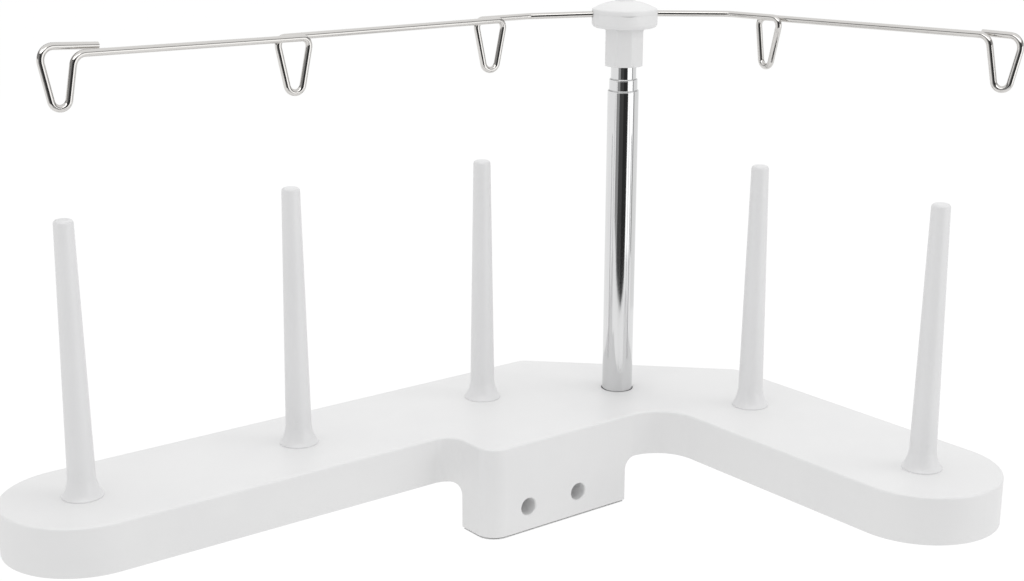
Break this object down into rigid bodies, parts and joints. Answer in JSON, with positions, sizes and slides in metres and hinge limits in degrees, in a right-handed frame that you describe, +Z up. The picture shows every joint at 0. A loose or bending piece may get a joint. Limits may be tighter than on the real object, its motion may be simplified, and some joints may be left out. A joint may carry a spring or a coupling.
{
  "type": "thread rack",
  "caption": "Add-on spool rack: L-shaped base with upright tapered spool pins, a telescopic mast, and a bent wire guide with thread loops, fixed by a two-hole boss.",
  "frame": {"origin": "midway between the two fixing holes, on the boss face that seats against the machine", "axes": "+Z up along the mast and the pins, +X along the long arm towards the corner of the L, -Y out of the boss face towards the machine"},
  "size_m": [0.325, 0.2227, 0.2017],
  "materials": {
    "white_moulding": "satin moulded",
    "white_pin": "satin moulded",
    "chrome_tube": "polished",
    "chrome_wire": "polished",
    "plated_screw": "zinc plated",
    "nylon": "natural"
  },
  "bodies": {
    "base": {"base_shell": "white_moulding", "base_cover": "white_moulding", "boss_cover": "white_moulding", "cover_screws": "plated_screw", "spool_pin_1": "white_pin", "spool_pin_2": "white_pin", "spool_pin_3": "white_pin", "spool_pin_4": "white_pin", "spool_pin_5": "white_pin", "pin_screws": "plated_screw", "outer_tube": "chrome_tube", "mast_foot_plug": "nylon", "mast_foot_washer": "plated_screw", "mast_foot_screw": "plated_screw"},
    "middle_mast": {"middle_tube": "chrome_tube", "middle_bush": "nylon"},
    "inner_mast": {"inner_tube": "chrome_tube", "inner_bush": "nylon", "top_plug": "nylon", "swivel_washer": "plated_screw", "swivel_screw": "plated_screw"},
    "guide": {"head_body": "white_moulding", "head_cap": "white_moulding", "thread_guide": "chrome_wire"}
  },
  "joints": [
    {"name": "middle_slide", "type": "slide", "parent": "base", "child": "middle_mast", "axis": [0, 0, 1], "range_m": [0, 0.09]},
    {"name": "inner_slide", "type": "slide", "parent": "middle_mast", "child": "inner_mast", "axis": [0, 0, 1], "range_m": [0, 0.09]},
    {"name": "guide_swivel", "type": "hinge", "parent": "inner_mast", "child": "guide", "pos_m": [0.0586, 0.0298, 0.17], "axis": [0, 0, 1], "continuous": true}
  ]
}
